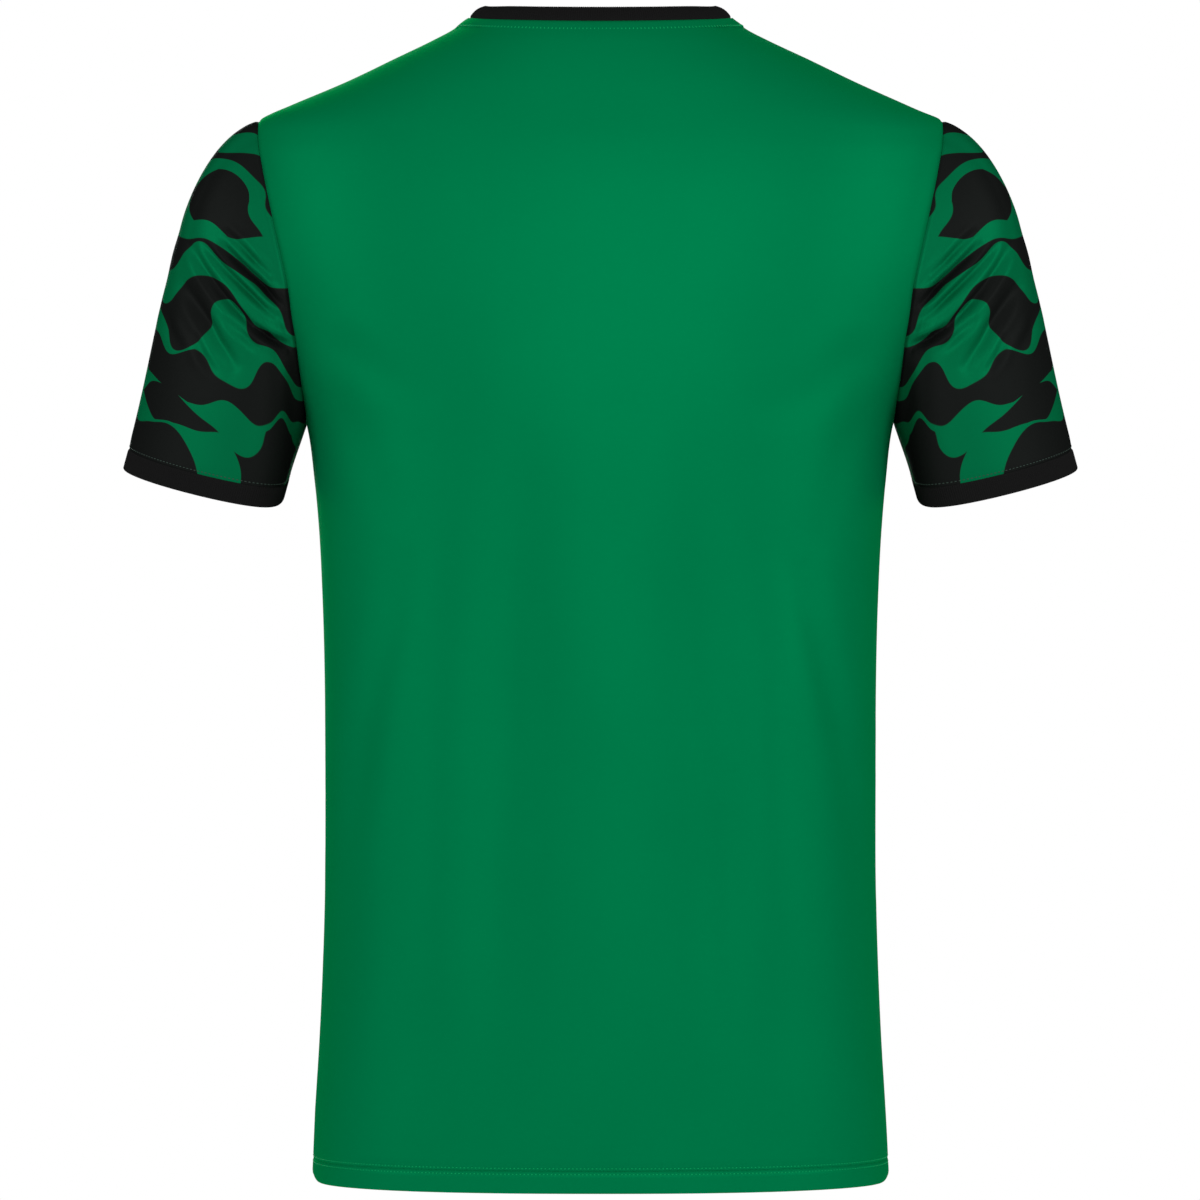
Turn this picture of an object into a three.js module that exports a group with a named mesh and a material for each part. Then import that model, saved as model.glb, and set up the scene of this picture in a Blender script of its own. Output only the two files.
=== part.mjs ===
// Short-sleeve football jersey, filled out as when worn and hollow inside.
// Millimetres, +Z up. The front faces -Y and the wearer's left arm is at +X.
// The origin is midway between the two neck ends of the shoulder seams, 4 mm below them.
import * as THREE from 'three';

// Cloth
const clothThickness = 1.2;
const ribThickness = 2.0;
const seamGap = 0.3;
const hemDepth = 15;
const hemThickness = 2.4;
const hemStep = 1.5;
const hemHeight = -726.5;
const armpitHeight = -250;

// Neck: the band carries on the panels' slope from the neckline and is rounded out a little
const neckHalfWidth = 82.3;
const neckHeight = 4;
const backNeckDrop = 6;
const frontNeckDrop = 83;
const frontNeckRoundness = { across: 0.75, down: 1.5 };
const neckRibWidth = 13.5;
const neckRibBulge = 1.6;

// Armhole: the front edge is cut deeper into the panel than the back edge
const frontArmholeScoop = 5;
const armholeCentre = new THREE.Vector3(197, 0, -155);

// Cuff ring, where the sleeve is sewn to its cuff: rounder outside, flatter towards the body
const cuffCentre = new THREE.Vector3(247, -9, -276);
const cuffHalfWidth = 51.5;
const cuffHalfDepth = 57;
const cuffFlattening = 22;
const cuffRise = THREE.MathUtils.degToRad(10.6);
const cuffForwardTilt = THREE.MathUtils.degToRad(9.5);
const cuffDepth = 13.5;
const sleeveAxis = new THREE.Vector3(0.27, -0.17, -0.95).normalize();

// Sleeve lines leave the armhole seam along the shoulder slope on top and almost straight down under
// the arm, drift forward a little, and arrive at the cuff along the sleeve's axis. A pull is how far
// they keep to a direction, as a share of their length.
const dropOnTop = THREE.MathUtils.degToRad(20);
const dropUnderArm = THREE.MathUtils.degToRad(75);
const dropSharpness = 1.4;
const forwardDrift = 0.06;
const leavingPull = 0.82;
const arrivingPull = 1.25;

// Mesh steps: across half a panel, round half an armhole, up the side seam and down the sleeve
const neckSteps = 6;
const shoulderSteps = 8;
const armholeSteps = 16;
const sideSteps = 10;
const sleeveSteps = 11;
const halfSteps = neckSteps + shoulderSteps;
const armpitArch = 42;
const foldFreeColumns = 3;
const creaseFreeRows = 2;

// The worn body by height: half width, and depth behind and in front of the side seam.
// Above the armpit the widths run on under the sleeve head, past the armhole seam.
const sectionPower = 2.4;
const bodyLevels = [
  { z: 13, halfWidth: 71, back: 52, front: 50 },
  { z: 4, halfWidth: 82.3, back: 60.5, front: 57.5 },
  { z: 0.6, halfWidth: 87.3, back: 64, front: 60 },
  { z: -3.2, halfWidth: 92.2, back: 68, front: 63 },
  { z: -10.7, halfWidth: 106.2, back: 75.5, front: 69 },
  { z: -22, halfWidth: 129.5, back: 83.5, front: 76 },
  { z: -37.2, halfWidth: 160.9, back: 92, front: 84.5 },
  { z: -52.3, halfWidth: 196.2, back: 98, front: 91.5 },
  { z: -60.5, halfWidth: 214.6, back: 101, front: 95 },
  { z: -75, halfWidth: 223.5, back: 106, front: 100 },
  { z: -95, halfWidth: 226, back: 111, front: 107 },
  { z: -125, halfWidth: 225, back: 116, front: 114 },
  { z: -155, halfWidth: 220, back: 119, front: 119 },
  { z: -190, halfWidth: 208, back: 121, front: 122 },
  { z: -220, halfWidth: 195.5, back: 122, front: 123.5 },
  { z: -250, halfWidth: 184.6, back: 122, front: 124 },
  { z: -287, halfWidth: 179.6, back: 121, front: 123 },
  { z: -317, halfWidth: 177, back: 120, front: 122 },
  { z: -362, halfWidth: 174.8, back: 118.5, front: 120.5 },
  { z: -438, halfWidth: 173.2, back: 118, front: 119 },
  { z: -490, halfWidth: 172.6, back: 118.5, front: 119 },
  { z: -540, halfWidth: 173.3, back: 119.5, front: 119.5 },
  { z: -590, halfWidth: 174.8, back: 121, front: 120.5 },
  { z: -640, halfWidth: 177, back: 122.5, front: 121.5 },
  { z: -690, halfWidth: 179.9, back: 124, front: 123 },
  { z: -730, halfWidth: 181.8, back: 125, front: 124 },
];

// Distance of the armhole seam from the centre line, from the shoulder down to the armpit
const armholeLevels = [
  { z: -60.5, x: 214.6 },
  { z: -75, x: 214 },
  { z: -92, x: 211 },
  { z: -122.6, x: 204.5 },
  { z: -144.7, x: 199.4 },
  { z: -166.5, x: 194.6 },
  { z: -186.4, x: 192.1 },
  { z: -201.6, x: 189.7 },
  { z: -222, x: 187.6 },
  { z: -240.7, x: 185.2 },
  { z: -250, x: 184.6 },
];

// Long soft folds that hang from the shoulder blades and the chest and spread as they go down:
// a ridge has height above 0, a trough below
const backFolds = [
  { topX: 50, bottomX: 66, top: -290, bottom: -650, halfWidth: 24, height: -6 },
  { topX: -62, bottomX: -80, top: -285, bottom: -650, halfWidth: 23, height: -5.5 },
  { topX: 96, bottomX: 112, top: -330, bottom: -620, halfWidth: 22, height: 2.2 },
  { topX: -104, bottomX: -122, top: -380, bottom: -610, halfWidth: 22, height: 2.2 },
  { topX: -6, bottomX: -10, top: -330, bottom: -690, halfWidth: 26, height: 2 },
];
const frontFolds = [
  { topX: 58, bottomX: 74, top: -280, bottom: -655, halfWidth: 25, height: -5.5 },
  { topX: -52, bottomX: -66, top: -295, bottom: -640, halfWidth: 24, height: -5 },
  { topX: 104, bottomX: 120, top: -360, bottom: -630, halfWidth: 22, height: 2.2 },
  { topX: -98, bottomX: -112, top: -340, bottom: -620, halfWidth: 22, height: 2 },
  { topX: 4, bottomX: 8, top: -340, bottom: -680, halfWidth: 26, height: 1.8 },
];

// Drag folds that fan out over the sleeve from the armpit, seen from behind and from in front
const sleeveFolds = [
  { side: 1, x: 238, z: -138, endX: 202, endZ: -178, halfWidth: 8, depth: 3 },
  { side: 1, x: 258, z: -137, endX: 204, endZ: -200, halfWidth: 8, depth: 2.4 },
  { side: 1, x: 265, z: -162, endX: 229, endZ: -219, halfWidth: 9, depth: 2.2 },
  { side: -1, x: 240, z: -132, endX: 200, endZ: -176, halfWidth: 9, depth: 2.8 },
  { side: -1, x: 262, z: -150, endX: 206, endZ: -208, halfWidth: 9, depth: 2.4 },
];

// A smooth curve through one column of a table whose rows go down from the top
function columnCurve(rows, column) {
  const secant = (i) => (rows[i + 1][column] - rows[i][column]) / (rows[i + 1].z - rows[i].z);
  const slopes = rows.map((row, i) => {
    if (i === 0) return secant(0);
    if (i === rows.length - 1) return secant(i - 1);
    const before = rows[i].z - rows[i - 1].z;
    const after = rows[i + 1].z - rows[i].z;
    return (secant(i - 1) * after + secant(i) * before) / (before + after);
  });
  return (height) => {
    const z = THREE.MathUtils.clamp(height, rows.at(-1).z, rows[0].z);
    const i = Math.min(rows.findLastIndex((row) => row.z >= z), rows.length - 2);
    const span = rows[i + 1].z - rows[i].z;
    const t = (z - rows[i].z) / span;
    const rise = (1 - t) * (1 - t);
    return (1 + 2 * t) * rise * rows[i][column] + t * rise * span * slopes[i]
      + t * t * (3 - 2 * t) * rows[i + 1][column] + t * t * (t - 1) * span * slopes[i + 1];
  };
}

const halfWidthAt = columnCurve(bodyLevels, 'halfWidth');
const depthAt = { back: columnCurve(bodyLevels, 'back'), front: columnCurve(bodyLevels, 'front') };
const armholeAt = columnCurve(armholeLevels, 'x');

function depthOnSide(z, side) {
  return side > 0 ? depthAt.back(z) : depthAt.front(z);
}

// The point of the body form at height z and distance x from the centre line
function bodyPoint(x, z, side) {
  const share = Math.min(Math.abs(x) / halfWidthAt(z), 1) ** sectionPower;
  return new THREE.Vector3(x, side * depthOnSide(z, side) * (1 - share) ** (1 / sectionPower), z);
}

// Zero on the body form, above zero outside it
function bodyLevel(point, side) {
  const across = Math.abs(point.x) / halfWidthAt(point.z);
  const deep = Math.abs(point.y) / depthOnSide(point.z, side);
  return (across ** sectionPower + deep ** sectionPower) ** (1 / sectionPower) - 1;
}

function bodySlope(point, side) {
  const step = 0.01;
  const level = bodyLevel(point, side);
  const partial = (axis) => {
    const moved = point.clone();
    moved[axis] += step;
    return (bodyLevel(moved, side) - level) / step;
  };
  return new THREE.Vector3(partial('x'), partial('y'), partial('z'));
}

function inwardNormal(point, side) {
  return bodySlope(point, side).normalize().negate();
}

function settleOnBody(point, side) {
  for (let round = 0; round < 8; round += 1) {
    const slope = bodySlope(point, side);
    point.addScaledVector(slope, -bodyLevel(point, side) / slope.lengthSq());
  }
  return point;
}

// Points spaced evenly along a curve given as a function of 0 to 1
function evenPoints(curve, steps) {
  const fine = 600;
  const dense = Array.from({ length: fine + 1 }, (_, i) => curve(i / fine));
  const lengths = [0];
  for (let i = 1; i <= fine; i += 1) lengths.push(lengths[i - 1] + dense[i].distanceTo(dense[i - 1]));
  return Array.from({ length: steps + 1 }, (_, step) => {
    const target = lengths[fine] * step / steps;
    const i = Math.min(lengths.findLastIndex((length) => length <= target), fine - 1);
    const share = (target - lengths[i]) / (lengths[i + 1] - lengths[i]);
    return dense[i].clone().lerp(dense[i + 1], share);
  });
}

// From the shoulder down to the armpit, behind (side 1) or in front (side -1)
function armholeCurve(side) {
  const top = armholeLevels[0].z;
  return evenPoints((t) => {
    const z = THREE.MathUtils.lerp(top, armpitHeight, (1 - Math.cos(Math.PI * t)) / 2);
    const scoop = side > 0 ? 0 : frontArmholeScoop * Math.sin(Math.PI * t) ** 2;
    const x = Math.min(armholeAt(z), halfWidthAt(z)) - scoop;
    return t === 0 || t === 1 ? bodyPoint(halfWidthAt(z), z, side) : bodyPoint(x, z, side);
  }, armholeSteps);
}

// From the centre line out to the neck end of the shoulder seam
function necklineCurve(side) {
  return evenPoints((t) => {
    const turn = (1 - t) * Math.PI / 2;
    if (side > 0) {
      return bodyPoint(neckHalfWidth * Math.cos(turn), neckHeight - backNeckDrop * Math.sin(turn), side);
    }
    const across = Math.max(Math.cos(turn), 0) ** frontNeckRoundness.across;
    const down = Math.sin(turn) ** frontNeckRoundness.down;
    return bodyPoint(neckHalfWidth * across, neckHeight - frontNeckDrop * down, side);
  }, neckSteps);
}

function shoulderCurve() {
  const bottom = armholeLevels[0].z;
  return evenPoints((t) => {
    const z = THREE.MathUtils.lerp(neckHeight, bottom, t);
    return new THREE.Vector3(halfWidthAt(z), 0, z);
  }, shoulderSteps);
}

// The directions at each point of a closed seam: along it, into the wall, and across to the next piece
function seamFrames(points, wallDirection, acrossHint) {
  return points.map((point, i) => {
    const before = points[(i - 1 + points.length) % points.length];
    const after = points[(i + 1) % points.length];
    const along = after.clone().sub(before).normalize();
    const wall = wallDirection(point, i);
    wall.addScaledVector(along, -wall.dot(along)).normalize();
    const across = along.clone().cross(wall).normalize();
    if (across.dot(acrossHint(point)) < 0) across.negate();
    return { point, along, wall, across };
  });
}

// Seams shared by neighbouring pieces, on the wearer's left
const armholeBack = armholeCurve(1);
const armholeFront = armholeCurve(-1);
const armholeLoop = [...armholeBack, ...armholeFront.slice(1, -1).reverse()];
const armholeSeam = seamFrames(
  armholeLoop,
  (point) => armholeCentre.clone().sub(point),
  () => new THREE.Vector3(1, 0, 0),
);

const neckBack = necklineCurve(1);
const neckFront = necklineCurve(-1);
const mirrored = (point) => new THREE.Vector3(-point.x, point.y, point.z);
const neckLoop = [
  ...neckBack,
  ...neckFront.slice(0, -1).reverse(),
  ...neckFront.slice(1).map(mirrored),
  ...neckBack.slice(1, -1).reverse().map(mirrored),
];
const neckSeam = seamFrames(
  neckLoop,
  (point) => inwardNormal(point, point.y > -0.001 ? 1 : -1),
  (point) => new THREE.Vector3(-point.x, -point.y, neckHalfWidth),
);

const cuffAcross = new THREE.Vector3(Math.cos(cuffRise), 0, Math.sin(cuffRise));
const cuffDeep = new THREE.Vector3(0, Math.cos(cuffForwardTilt), -Math.sin(cuffForwardTilt));
const cuffLoop = armholeLoop.map((_, i) => {
  const turn = 2 * Math.PI * i / armholeLoop.length;
  const across = cuffHalfWidth * Math.cos(turn) - cuffFlattening * Math.sin(turn) ** 2;
  return cuffCentre.clone()
    .addScaledVector(cuffAcross, across)
    .addScaledVector(cuffDeep, cuffHalfDepth * Math.sin(turn));
});
const cuffSeam = seamFrames(
  cuffLoop,
  (point) => cuffCentre.clone().sub(point),
  () => sleeveAxis,
);

// A closed wall between an outer and an inner grid of points, a ring if the columns close
function wallGeometry(outer, inner, ring) {
  const rows = outer.length;
  const columns = outer[0].length;
  const spans = ring ? columns : columns - 1;
  const points = [...outer.flat(), ...inner.flat()];
  const outside = (r, c) => r * columns + c % columns;
  const inside = (r, c) => rows * columns + outside(r, c);
  const faces = [];
  const quad = (a, b, c, d) => faces.push(a, b, c, a, c, d);
  for (let r = 0; r < rows - 1; r += 1) {
    for (let c = 0; c < spans; c += 1) {
      quad(outside(r, c), outside(r, c + 1), outside(r + 1, c + 1), outside(r + 1, c));
      quad(inside(r, c), inside(r + 1, c), inside(r + 1, c + 1), inside(r, c + 1));
    }
  }
  for (let c = 0; c < spans; c += 1) {
    quad(outside(0, c + 1), outside(0, c), inside(0, c), inside(0, c + 1));
    quad(outside(rows - 1, c), outside(rows - 1, c + 1), inside(rows - 1, c + 1), inside(rows - 1, c));
  }
  if (!ring) {
    for (let r = 0; r < rows - 1; r += 1) {
      quad(outside(r, 0), outside(r + 1, 0), inside(r + 1, 0), inside(r, 0));
      quad(outside(r + 1, spans), outside(r, spans), inside(r, spans), inside(r + 1, spans));
    }
  }
  const volume = faces.reduce((sum, _, i) => (i % 3 ? sum : sum
    + points[faces[i]].dot(points[faces[i + 1]].clone().cross(points[faces[i + 2]]))), 0);
  if (volume < 0) faces.reverse();
  const geometry = new THREE.BufferGeometry().setFromPoints(points);
  geometry.setIndex(faces);
  geometry.computeVertexNormals();
  return geometry;
}

function foldHeight(folds, x, z) {
  return folds.reduce((sum, fold) => {
    const share = (fold.top - z) / (fold.top - fold.bottom);
    const middleX = fold.topX + (fold.bottomX - fold.topX) * share;
    const along = Math.exp(-((2 * share - 1) ** 4));
    return sum + fold.height * along * Math.exp(-(((x - middleX) / fold.halfWidth) ** 2));
  }, 0);
}

// Heights of the rows up to the armpit, at the side seam and at the centre, where they arch up
function rowHeights() {
  const sewn = [hemHeight, hemHeight + hemDepth, hemHeight + hemDepth + hemStep];
  const start = sewn.at(-1);
  const rows = sewn.map((z) => ({ side: z, centre: z }));
  for (let i = 1; i <= sideSteps; i += 1) {
    const share = i / sideSteps;
    rows.push({
      side: THREE.MathUtils.lerp(start, armpitHeight, share),
      centre: THREE.MathUtils.lerp(start, armpitHeight + armpitArch, share),
    });
  }
  return rows;
}

function sectionRow(row, side) {
  return evenPoints((t) => {
    const z = THREE.MathUtils.lerp(row.side, row.centre, (1 - t * t) ** 2);
    const turn = (1 - t) * Math.PI / 2;
    const x = halfWidthAt(z) * Math.cos(turn) ** (2 / sectionPower);
    const y = depthOnSide(z, side) * Math.sin(turn) ** (2 / sectionPower);
    return new THREE.Vector3(x, side * y, z);
  }, halfSteps);
}

// Rows of points on half a panel, from the centre line out to the side, from the hem to the shoulder
function halfPanelRows(side) {
  const rows = rowHeights().map((row) => sectionRow(row, side));
  const bottom = rows.at(-1);
  const top = [...(side > 0 ? neckBack : neckFront), ...shoulderCurve().slice(1)];
  const edge = [...(side > 0 ? armholeBack : armholeFront)].reverse();
  const centre = evenPoints((t) => bodyPoint(0, THREE.MathUtils.lerp(bottom[0].z, top[0].z, t), side),
    armholeSteps);
  for (let r = 1; r <= armholeSteps; r += 1) {
    const v = r / armholeSteps;
    rows.push(top.map((above, c) => {
      const u = c / halfSteps;
      if (r === armholeSteps) return above.clone();
      if (c === halfSteps) return edge[r].clone();
      const point = new THREE.Vector3()
        .addScaledVector(bottom[c], 1 - v)
        .addScaledVector(above, v)
        .addScaledVector(centre[r], 1 - u)
        .addScaledVector(edge[r], u)
        .addScaledVector(bottom[0], -(1 - u) * (1 - v))
        .addScaledVector(bottom[halfSteps], -u * (1 - v))
        .addScaledVector(top[0], -(1 - u) * v)
        .addScaledVector(top[halfSteps], -u * v);
      return settleOnBody(point, side);
    }));
  }
  return rows;
}

// A front or back panel: folds fade out at its seams, and each seam edge stands back half the gap
function panelGeometry(side, folds) {
  const half = halfPanelRows(side);
  const last = half.length - 1;
  const firstArmholeRow = last - armholeSteps;
  const outer = [];
  const inner = [];
  half.forEach((row, r) => {
    const outerRow = [];
    const innerRow = [];
    for (let c = -halfSteps; c <= halfSteps; c += 1) {
      const mirror = c < 0 ? -1 : 1;
      const column = Math.abs(c);
      const base = row[column].clone();
      let wall = inwardNormal(base, side);
      if (column === 0) wall.x = 0;
      const offSeam = Math.min((halfSteps - column) / foldFreeColumns, 1);
      base.addScaledVector(wall, -foldHeight(folds, mirror * base.x, base.z) * offSeam);
      let thickness = clothThickness;
      if (r < 2) thickness = hemThickness;
      if (column === halfSteps || (r === last && column >= neckSteps)) base.y += side * seamGap / 2;
      if (column === halfSteps && r >= firstArmholeRow) {
        const step = last - r;
        const seam = armholeSeam[side > 0 ? step : (armholeLoop.length - step) % armholeLoop.length];
        base.addScaledVector(seam.across, -seamGap / 2);
        wall = r === firstArmholeRow ? wall.add(seam.wall).normalize() : seam.wall.clone();
      }
      if (r === last && column <= neckSteps) {
        const seam = neckSeam[side > 0 ? column : 2 * neckSteps - column];
        base.addScaledVector(seam.across, -seamGap / 2);
        wall = seam.wall.clone();
      }
      const within = base.clone().addScaledVector(wall, thickness);
      outerRow.push(new THREE.Vector3(mirror * base.x, base.y, base.z));
      innerRow.push(new THREE.Vector3(mirror * within.x, within.y, within.z));
    }
    outer.push(outerRow);
    inner.push(innerRow);
  });
  return wallGeometry(outer, inner, false);
}

function creaseDepth(point) {
  return sleeveFolds.reduce((sum, fold) => {
    if (Math.sign(point.y) !== fold.side) return sum;
    const run = new THREE.Vector2(fold.endX - fold.x, fold.endZ - fold.z);
    const from = new THREE.Vector2(point.x - fold.x, point.z - fold.z);
    const share = from.dot(run) / run.lengthSq();
    const off = Math.abs(from.cross(run)) / run.length();
    const ends = Math.exp(-((Math.abs(share - 0.5) / 0.55) ** 4));
    return sum + fold.depth * ends * Math.exp(-((off / fold.halfWidth) ** 2));
  }, 0);
}

// The way the cloth leaves the armhole seam, with turn measured round it from the shoulder
function leavingDirection(turn) {
  const share = ((1 - Math.cos(turn)) / 2) ** dropSharpness;
  const drop = THREE.MathUtils.lerp(dropOnTop, dropUnderArm, share);
  return new THREE.Vector3(Math.cos(drop), -forwardDrift * Math.abs(Math.sin(turn)), -Math.sin(drop));
}

// The sleeve: each lengthwise line curves from its armhole seam point to its cuff seam point
function sleeveGeometry() {
  const count = armholeLoop.length;
  const outer = Array.from({ length: sleeveSteps + 1 }, () => []);
  armholeSeam.forEach((seam, i) => {
    const start = seam.point.clone().addScaledVector(seam.across, seamGap / 2);
    const end = cuffSeam[i].point.clone().addScaledVector(cuffSeam[i].across, -seamGap / 2);
    const reach = end.distanceTo(start);
    const leave = leavingDirection(2 * Math.PI * i / count).multiplyScalar(leavingPull * reach);
    const arrive = sleeveAxis.clone().multiplyScalar(arrivingPull * reach);
    for (let r = 0; r <= sleeveSteps; r += 1) {
      const t = r / sleeveSteps;
      outer[r].push(new THREE.Vector3()
        .addScaledVector(start, (1 + 2 * t) * (1 - t) ** 2)
        .addScaledVector(leave, t * (1 - t) ** 2)
        .addScaledVector(end, t * t * (3 - 2 * t))
        .addScaledVector(arrive, t * t * (t - 1)));
    }
  });
  const wallAt = (r, i) => {
    if (r === 0) return armholeSeam[i].wall;
    if (r === sleeveSteps) return cuffSeam[i].wall;
    const along = outer[r][(i + 1) % count].clone().sub(outer[r][(i + count - 1) % count]);
    const down = outer[r + 1][i].clone().sub(outer[r - 1][i]);
    return along.cross(down).normalize();
  };
  const walls = outer.map((row, r) => row.map((_, i) => wallAt(r, i).clone()));
  outer.forEach((row, r) => row.forEach((point, i) => {
    const offSeam = Math.min(r / creaseFreeRows, (sleeveSteps - r) / creaseFreeRows, 1);
    point.addScaledVector(walls[r][i], creaseDepth(point) * offSeam);
  }));
  const inner = outer.map((row, r) => row.map((point, i) => (
    point.clone().addScaledVector(walls[r][i], clothThickness))));
  return wallGeometry(outer, inner, true);
}

// The cuff: a band of even width below the sleeve's end
function cuffGeometry() {
  const outer = [0, 0.5, 1].map((share) => cuffSeam.map((seam) => seam.point.clone()
    .addScaledVector(seam.across, seamGap / 2)
    .addScaledVector(sleeveAxis, share * cuffDepth)));
  const inner = outer.map((row) => row.map((point, i) => (
    point.clone().addScaledVector(cuffSeam[i].wall, ribThickness))));
  return wallGeometry(outer, inner, true);
}

function neckRibGeometry() {
  const outer = [0, 0.5, 1].map((share) => neckSeam.map((seam) => seam.point.clone()
    .addScaledVector(seam.across, seamGap / 2 + share * neckRibWidth)
    .addScaledVector(seam.wall, -neckRibBulge * Math.sin(Math.PI * share))));
  const inner = outer.map((row) => row.map((point, i) => (
    point.clone().addScaledVector(neckSeam[i].wall, ribThickness))));
  return wallGeometry(outer, inner, true);
}

function mirrorGeometry(geometry) {
  const copy = geometry.clone().scale(-1, 1, 1);
  copy.setIndex([...geometry.getIndex().array].reverse());
  copy.computeVertexNormals();
  return copy;
}

const greenKnit = { color: 0x017948, roughness: 0.62, metalness: 0 };
const printedKnit = { color: 0x0b3f29, roughness: 0.6, metalness: 0 };
const blackRib = { color: 0x161616, roughness: 0.85, metalness: 0 };

function piece(name, geometry, finish) {
  const mesh = new THREE.Mesh(geometry, new THREE.MeshStandardMaterial(finish));
  mesh.name = name;
  return mesh;
}

const jersey = new THREE.Group();
const sleeve = sleeveGeometry();
const cuff = cuffGeometry();
jersey.add(piece('back_panel', panelGeometry(1, backFolds), greenKnit));
jersey.add(piece('front_panel', panelGeometry(-1, frontFolds), greenKnit));
jersey.add(piece('left_sleeve', sleeve, printedKnit));
jersey.add(piece('right_sleeve', mirrorGeometry(sleeve), printedKnit));
jersey.add(piece('neck_rib', neckRibGeometry(), blackRib));
jersey.add(piece('left_cuff', cuff, blackRib));
jersey.add(piece('right_cuff', mirrorGeometry(cuff), blackRib));

export default jersey;
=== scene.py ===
# Short-sleeve football jersey, filled out as when worn, seen from behind.
# Sizes are in millimetres in the jersey's own frame: +Z up, the front faces -Y, the wearer's left is +X.
# They become metres where a mesh is made.
import math

import bpy
import numpy as np
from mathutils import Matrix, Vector


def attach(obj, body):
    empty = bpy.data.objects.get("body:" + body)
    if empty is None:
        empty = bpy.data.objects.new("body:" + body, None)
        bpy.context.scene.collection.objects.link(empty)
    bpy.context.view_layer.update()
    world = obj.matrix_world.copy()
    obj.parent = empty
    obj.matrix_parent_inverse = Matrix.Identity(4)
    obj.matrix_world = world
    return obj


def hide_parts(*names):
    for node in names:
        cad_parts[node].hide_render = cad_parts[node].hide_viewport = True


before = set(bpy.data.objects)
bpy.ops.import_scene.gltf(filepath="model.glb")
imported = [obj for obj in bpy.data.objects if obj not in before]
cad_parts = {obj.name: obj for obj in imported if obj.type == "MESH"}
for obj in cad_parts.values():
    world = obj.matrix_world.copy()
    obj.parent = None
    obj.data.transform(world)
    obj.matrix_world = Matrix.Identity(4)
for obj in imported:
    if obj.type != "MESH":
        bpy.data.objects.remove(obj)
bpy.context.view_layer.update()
millimetre = 0.001

# The form, as the solids have it
# z, half width, depth behind and in front of the side seam
bodyLevels = np.array([
    (13, 71, 52, 50), (4, 82.3, 60.5, 57.5), (0.6, 87.3, 64, 60), (-3.2, 92.2, 68, 63),
    (-10.7, 106.2, 75.5, 69), (-22, 129.5, 83.5, 76), (-37.2, 160.9, 92, 84.5),
    (-52.3, 196.2, 98, 91.5), (-60.5, 214.6, 101, 95), (-75, 223.5, 106, 100),
    (-95, 226, 111, 107), (-125, 225, 116, 114), (-155, 220, 119, 119), (-190, 208, 121, 122),
    (-220, 195.5, 122, 123.5), (-250, 184.6, 122, 124), (-287, 179.6, 121, 123),
    (-317, 177, 120, 122), (-362, 174.8, 118.5, 120.5), (-438, 173.2, 118, 119),
    (-490, 172.6, 118.5, 119), (-540, 173.3, 119.5, 119.5), (-590, 174.8, 121, 120.5),
    (-640, 177, 122.5, 121.5), (-690, 179.9, 124, 123), (-730, 181.8, 125, 124),
], float)
# z, distance of the armhole seam from the centre line
armholeLevels = np.array([
    (-60.5, 214.6), (-75, 214), (-92, 211), (-122.6, 204.5), (-144.7, 199.4), (-166.5, 194.6),
    (-186.4, 192.1), (-201.6, 189.7), (-222, 187.6), (-240.7, 185.2), (-250, 184.6),
], float)
sectionPower = 2.4
hemHeight = -726.5
hemDepth = 15
hemStep = 1.5
armpitHeight = -250
armpitArch = 42
neckHalfWidth = 82.3
neckHeight = 4
backNeckDrop = 6
frontNeckDrop = 83
frontNeckRoundness = {"across": 0.75, "down": 1.5}
frontArmholeScoop = 5
neckShare = 6 / 14
armholeCentre = np.array([197, 0, -155], float)
cuffCentre = np.array([247, -9, -276], float)
cuffHalfWidth = 51.5
cuffHalfDepth = 57
cuffFlattening = 22
cuffRise = math.radians(10.6)
cuffForwardTilt = math.radians(9.5)
cuffAcross = np.array([math.cos(cuffRise), 0, math.sin(cuffRise)])
cuffDeep = np.array([0, math.cos(cuffForwardTilt), -math.sin(cuffForwardTilt)])
clothGap = 0.03  # the pieces all but meet along their seams


def unit(vectors):
    return vectors / np.linalg.norm(vectors, axis=-1, keepdims=True)


def dot(a, b):
    return (a * b).sum(-1, keepdims=True)


sleeveAxis = unit(np.array([0.27, -0.17, -0.95]))


def columnCurve(rows, column):
    z, value = rows[:, 0], rows[:, column]
    span = np.diff(z)
    secant = np.diff(value) / span
    slope = np.empty_like(value)
    slope[0], slope[-1] = secant[0], secant[-1]
    slope[1:-1] = (secant[:-1] * span[1:] + secant[1:] * span[:-1]) / (span[:-1] + span[1:])

    def at(height):
        h = np.clip(height, z[-1], z[0])
        i = np.clip(np.searchsorted(-z, -h, side="right") - 1, 0, len(z) - 2)
        t = (h - z[i]) / span[i]
        rise = (1 - t) ** 2
        return ((1 + 2 * t) * rise * value[i] + t * rise * span[i] * slope[i]
                + t * t * (3 - 2 * t) * value[i + 1] + t * t * (t - 1) * span[i] * slope[i + 1])

    return at


halfWidthAt = columnCurve(bodyLevels, 1)
backDepthAt = columnCurve(bodyLevels, 2)
frontDepthAt = columnCurve(bodyLevels, 3)
armholeAt = columnCurve(armholeLevels, 1)


def depthOnSide(z, side):
    return np.where(np.asarray(side) > 0, backDepthAt(z), frontDepthAt(z))


def bodyPoint(x, z, side):
    share = np.minimum(np.abs(x) / halfWidthAt(z), 1) ** sectionPower
    y = side * depthOnSide(z, side) * (1 - share) ** (1 / sectionPower)
    return np.stack(np.broadcast_arrays(x, y, z), -1)


def bodyLevel(points, side):
    across = np.abs(points[..., 0]) / halfWidthAt(points[..., 2])
    deep = np.abs(points[..., 1]) / depthOnSide(points[..., 2], side)
    return (across ** sectionPower + deep ** sectionPower) ** (1 / sectionPower) - 1


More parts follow.
